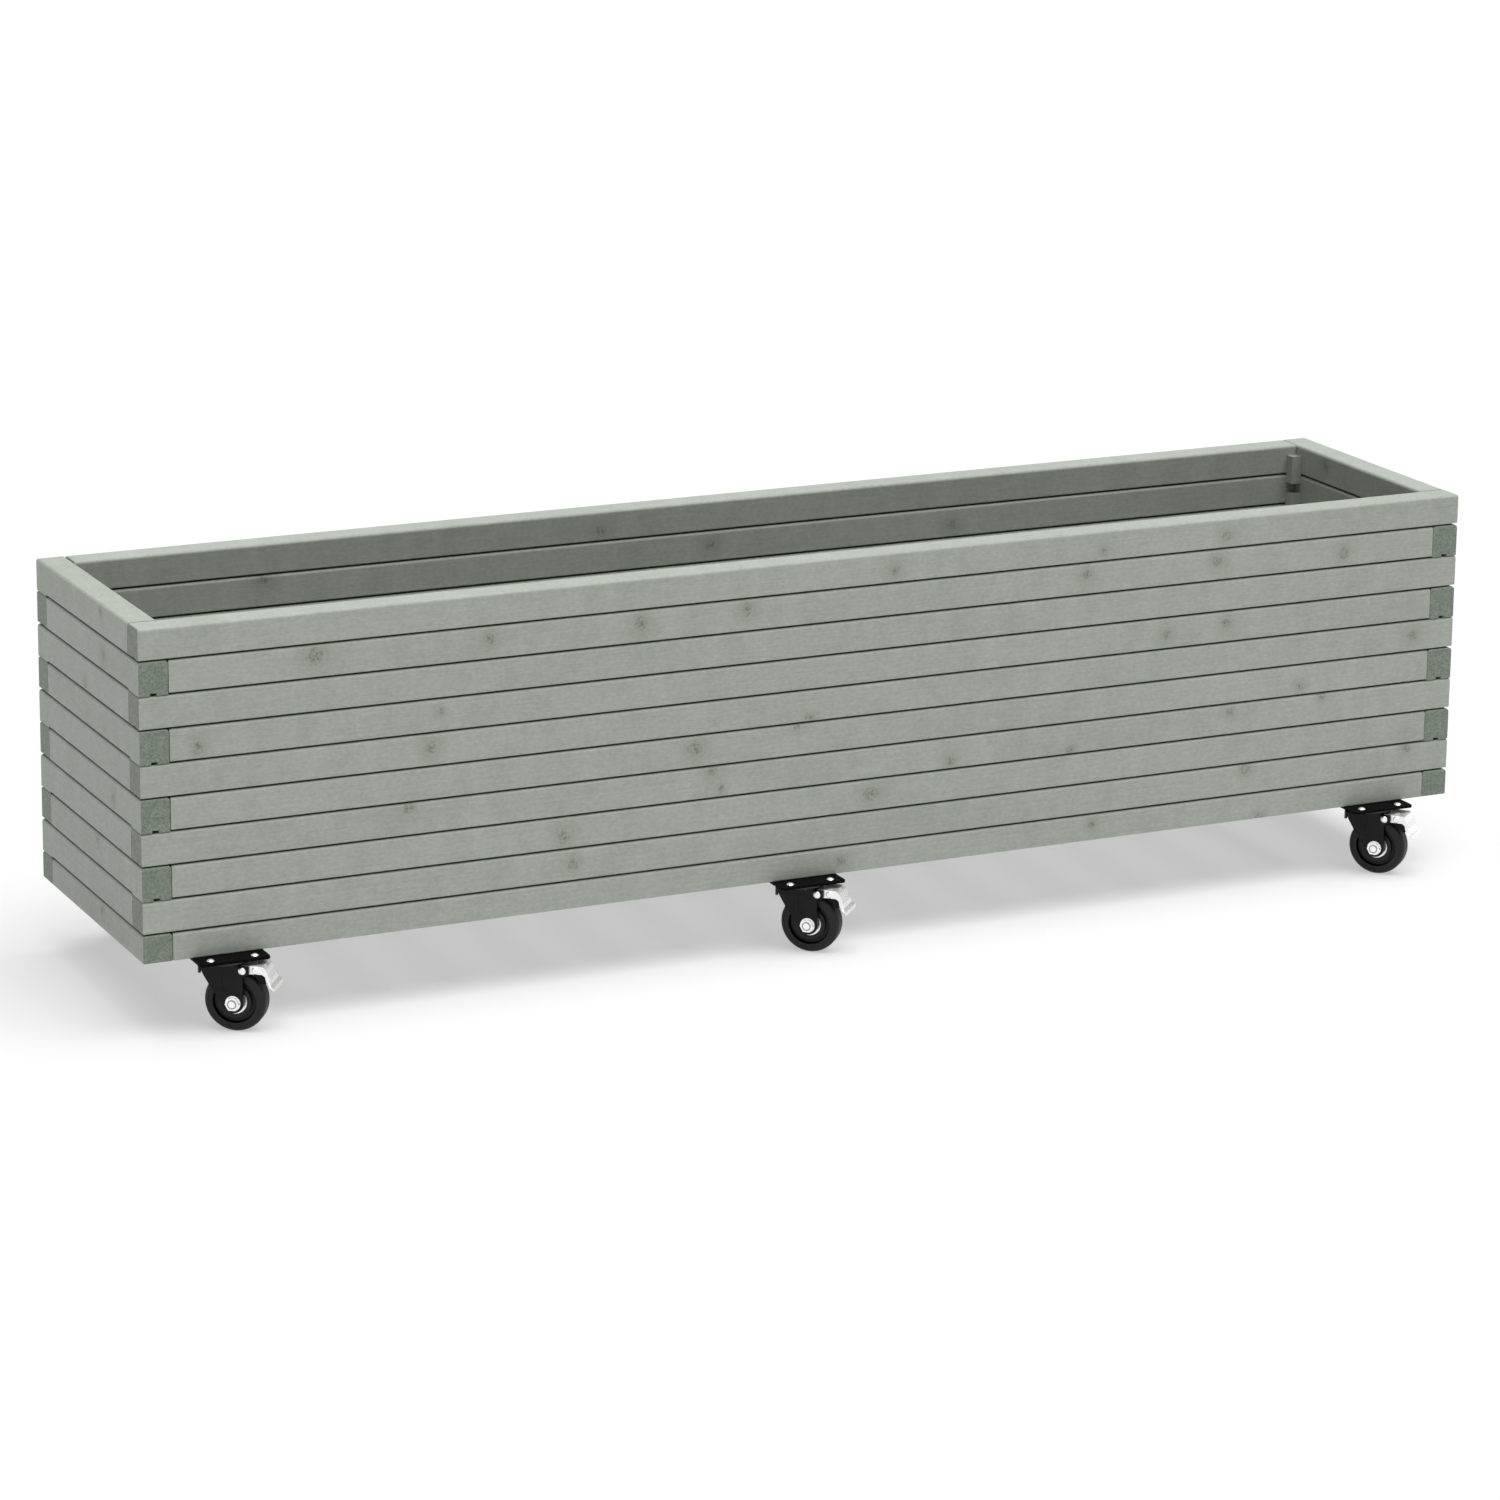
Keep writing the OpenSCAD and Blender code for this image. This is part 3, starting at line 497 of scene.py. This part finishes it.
# Painted shade: the grey of the groove round a bolt head's middle
BOLT_GROOVE_SHADE = (0.34, 0.345, 0.35, 1.0)
WHEEL_DARK = (0.011, 0.011, 0.0115, 1.0)
WHEEL_PALE = (0.019, 0.019, 0.0195, 1.0)
WHEEL_DUST = (0.030, 0.030, 0.029, 1.0)

# Distances from the axle: the groove on a bolt's head and the wheel's dish, both with a painted
# shade, and the tread's edge
BOLT_GROOVE = (0.0040, 0.0060)
SHADED_DISH = (0.0195, 0.0268)
TREAD_EDGE = (0.0335, 0.0365)

# Spacing of the fine rings on the wheel, and how much rougher its tread is than its faces
WHEEL_RINGS = 0.0009
TREAD_ROUGHNESS = 0.16


def powder_coat(name, low, high, specular, roughness):
    """Black powder coat with its slight orange peel, between two levels of grey.

    roughness is its least and its greatest."""
    finish = Finish(name, specular=specular)
    wear = finish.noise(finish.point, scale=60.0, detail=4.0, roughness=0.6)
    peel = finish.noise(finish.point, scale=1400.0, detail=1.0, roughness=0.5)
    finish.shade(base_color=finish.tint(finish.step(wear, *WEAR_EDGE), grey(low), grey(high)),
                 roughness=finish.step(wear, *HAZE_EDGE, *roughness))
    finish.bump(peel, depth=0.00008, strength=0.35)
    return finish


def turned_steel(name, dull, bright, roughness):
    """Turned and plated steel: axle bolts, rivets and bearings, and the darker races.

    roughness is its least and its greatest."""
    finish = Finish(name, metallic=1.0)
    haze = finish.noise(finish.point, scale=240.0, detail=3.0, roughness=0.6)
    warm = (bright, bright, bright * 0.99, 1.0)
    finish.shade(base_color=finish.tint(haze, grey(dull), warm),
                 roughness=finish.step(haze, *HAZE_EDGE, *roughness))
    finish.bump(haze, depth=0.00003, strength=0.15)
    return finish


def zinc():
    """Bright zinc plate with its faint spangle."""
    finish = Finish("zinc_plate", metallic=0.6)
    crystals = finish.node("TexVoronoi", {"Vector": finish.point, "Scale": 420.0}).outputs["Color"]
    spangle = finish.node("RGBToBW", {0: crystals}).outputs[0]
    haze = finish.noise(finish.point, scale=150.0, detail=3.0, roughness=0.6)
    finish.shade(base_color=finish.tint(spangle, ZINC_DARK, ZINC_PALE),
                 roughness=finish.step(haze, *HAZE_EDGE, low=0.20, high=0.28))
    finish.bump(haze, depth=0.00004, strength=0.15)
    return finish


def brake_rubber():
    """Dull black rubber."""
    finish = Finish("brake_rubber", roughness=0.7, specular=0.15)
    speck = finish.noise(finish.point, scale=900.0, detail=3.0, roughness=0.7)
    finish.shade(base_color=finish.tint(speck, grey(0.003), grey(0.010)))
    finish.bump(speck, depth=0.0001, strength=0.5)
    return finish


def from_axle(finish, place):
    """Distance from a wheel's axle."""
    low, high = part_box(f"{place}_wheel")
    axle = tuple(Vector(joints[f"{place}_wheel_roll"]["axis"]).normalized())
    from_centre = finish.vector("SUBTRACT", finish.point, tuple((low + high) / 2))
    aside = finish.vector("DOT_PRODUCT", from_centre, axle)
    on_axle = finish.node("VectorMath", {0: axle, "Scale": aside}, operation="SCALE")
    off_axle = finish.vector("SUBTRACT", from_centre, on_axle.outputs["Vector"])
    return finish.vector("LENGTH", off_axle)


def bolt_finish(place):
    """Bright bolt and nut, with a painted shade: grey in the groove round the head's middle."""
    finish = turned_steel(f"bolt_steel_{place}", dull=0.84, bright=0.94, roughness=(0.19, 0.31))
    # Painted shade: the groove round the head's middle is coloured grey
    ring = finish.band(from_axle(finish, place), *BOLT_GROOVE, edge=0.0005)
    plated = finish.shader.inputs["Base Color"].links[0].from_socket
    finish.shade(base_color=finish.tint(ring, plated, BOLT_GROOVE_SHADE))
    return finish


def wheel_finish(place):
    """Moulded black wheel: fine rings on its faces, a dish coloured darker as painted shade, and a
    duller, dusty tread.
    """
    finish = Finish(f"black_wheel_{place}", specular=0.22)
    radius = from_axle(finish, place)
    tread = finish.step(radius, *TREAD_EDGE)
    dish_shade = finish.band(radius, *SHADED_DISH, edge=0.001)
    dust = finish.noise(finish.point, scale=130.0, detail=4.0, roughness=0.65)
    # Painted shade: the dish is coloured near black, as the shade in it would make it
    black = finish.tint(dish_shade, finish.tint(dust, WHEEL_DARK, WHEEL_PALE), grey(0.002))
    dusty = finish.math("MULTIPLY", tread, finish.step(dust, *DUST_EDGE))
    face_roughness = finish.step(dust, *HAZE_EDGE, low=0.30, high=0.42)
    finish.shade(base_color=finish.tint(dusty, black, WHEEL_DUST),
                 roughness=finish.math("MULTIPLY_ADD", tread, TREAD_ROUGHNESS, face_roughness))
    rings = finish.math("SINE", finish.math("MULTIPLY", radius, math.tau / WHEEL_RINGS))
    finish.bump(rings, depth=0.00003, strength=0.25)
    return finish


plate_coat = powder_coat("plate_powder_coat", low=0.0015, high=0.003,
                         specular=0.03, roughness=(0.44, 0.58))
fork_coat = powder_coat("fork_powder_coat", low=0.005, high=0.009,
                        specular=0.16, roughness=(0.30, 0.44))
steel = turned_steel("bright_steel", dull=0.80, bright=0.92, roughness=(0.21, 0.33))
race_steel = turned_steel("race_steel", dull=0.03, bright=0.06, roughness=(0.23, 0.35))
plating = zinc()
rubber = brake_rubber()

plate_coat.dress("caster_plates", "kingpins")
race_steel.dress("swivel_rings")
plating.dress("plate_screws", "slat_screws")
for place in PLACES:
    fork_coat.dress(f"{place}_fork")
    steel.dress(f"{place}_bearing", f"{place}_pivot_pin")
    bolt_finish(place).dress(f"{place}_axle_bolt")
    plating.dress(f"{place}_brake_lever")
    rubber.dress(f"{place}_brake_shoe")
    wheel_finish(place).dress(f"{place}_wheel")


# ---------------------------------------------------------------- floor, light and camera

# The floor: how far it reaches, the light it gives back, and its colour and glow to the camera
FLOOR_REACH = 60.0
FLOOR_BOUNCE = grey(0.80)
FLOOR_SEEN = (0.465, 0.46, 0.465, 1.0)
FLOOR_GLOW = 0.475

# The room's light on the object, where plain white is 1, and the lamp above it
ROOM_LIGHT = 0.17
LAMP_STRENGTH = 3.3
LAMP_WIDTH = math.radians(58)
TOWARDS_LAMP = (0.13, -0.18, 1.0)

# The photograph's view: where it stands, how far it is turned, tilted and rolled, and its lens
CAMERA_PLACE = (-2.70939, -5.57415, 1.95847)
TURNED_RIGHT = math.radians(25.687)
TILTED_DOWN = math.radians(14.115)
ROLLED = math.radians(0.675)
LENS_MM = 121.618
SENSOR_MM = 36.0
SHIFT_UP = -0.1
FARTHEST_SEEN = 200.0


def floor():
    """A plain pale floor. The camera sees it white, with the soft grey shadow of the planter."""
    mesh = bpy.data.meshes.new("floor")
    corners = [(-1, -1), (1, -1), (1, 1), (-1, 1)]
    points = [(x * FLOOR_REACH, y * FLOOR_REACH, 0) for x, y in corners]
    mesh.from_pydata(points, [], [(0, 1, 2, 3)])
    piece = bpy.data.objects.new("floor", mesh)
    bpy.context.scene.collection.objects.link(piece)

    finish = Finish("floor")
    finish.tree.nodes.remove(finish.shader)
    bounce = finish.node("BsdfDiffuse", {"Color": FLOOR_BOUNCE})
    seen = finish.node("BsdfDiffuse", {"Color": FLOOR_SEEN})
    glow = finish.node("Emission", {"Color": grey(1.0), "Strength": FLOOR_GLOW})
    added = finish.node("AddShader", {0: seen.outputs[0], 1: glow.outputs[0]})
    path = finish.node("LightPath")
    looked_at = finish.math("MAXIMUM", path.outputs["Is Camera Ray"], path.outputs["Is Glossy Ray"])
    mixed = finish.node("MixShader", {0: looked_at, 1: bounce.outputs[0], 2: added.outputs[0]})
    finish.feed(mixed.outputs[0], finish.tree.nodes["Material Output"].inputs["Surface"])
    mesh.materials.append(finish.material)


def sky():
    """An even white room: dim light on the object, plain white to the camera and in reflections."""
    world = bpy.data.worlds.new("studio")
    world.use_nodes = True
    bpy.context.scene.world = world
    tree = world.node_tree
    background = tree.nodes["Background"]
    path = tree.nodes.new("ShaderNodeLightPath")
    looked_at = tree.nodes.new("ShaderNodeMath")
    looked_at.operation = "MAXIMUM"
    tree.links.new(path.outputs["Is Camera Ray"], looked_at.inputs[0])
    tree.links.new(path.outputs["Is Glossy Ray"], looked_at.inputs[1])
    level = tree.nodes.new("ShaderNodeMapRange")
    level.inputs["To Min"].default_value = ROOM_LIGHT
    level.inputs["To Max"].default_value = 1.0
    tree.links.new(looked_at.outputs[0], level.inputs["Value"])
    tree.links.new(level.outputs[0], background.inputs["Strength"])
    background.inputs["Color"].default_value = grey(1.0)


def overhead_light():
    """A broad soft light from above, a little to the front and right."""
    lamp = bpy.data.lights.new("overhead", "SUN")
    lamp.energy = LAMP_STRENGTH
    lamp.angle = LAMP_WIDTH
    piece = bpy.data.objects.new("overhead", lamp)
    piece.rotation_euler = Vector(TOWARDS_LAMP).to_track_quat("Z", "Y").to_euler()
    bpy.context.scene.collection.objects.link(piece)


def photo_camera():
    """The photograph's view, through a long lens from the front left and a little above."""
    camera = bpy.data.cameras.new("camera")
    camera.sensor_width = SENSOR_MM
    camera.lens = LENS_MM
    camera.shift_y = SHIFT_UP
    camera.clip_end = FARTHEST_SEEN
    piece = bpy.data.objects.new("camera", camera)
    piece.matrix_world = (Matrix.Translation(CAMERA_PLACE)
                          @ Matrix.Rotation(-TURNED_RIGHT, 4, "Z")
                          @ Matrix.Rotation(math.pi / 2 - TILTED_DOWN, 4, "X")
                          @ Matrix.Rotation(ROLLED, 4, "Z"))
    bpy.context.scene.collection.objects.link(piece)
    bpy.context.scene.camera = piece


floor()
sky()
overhead_light()
photo_camera()
bpy.context.scene.view_settings.view_transform = "Standard"
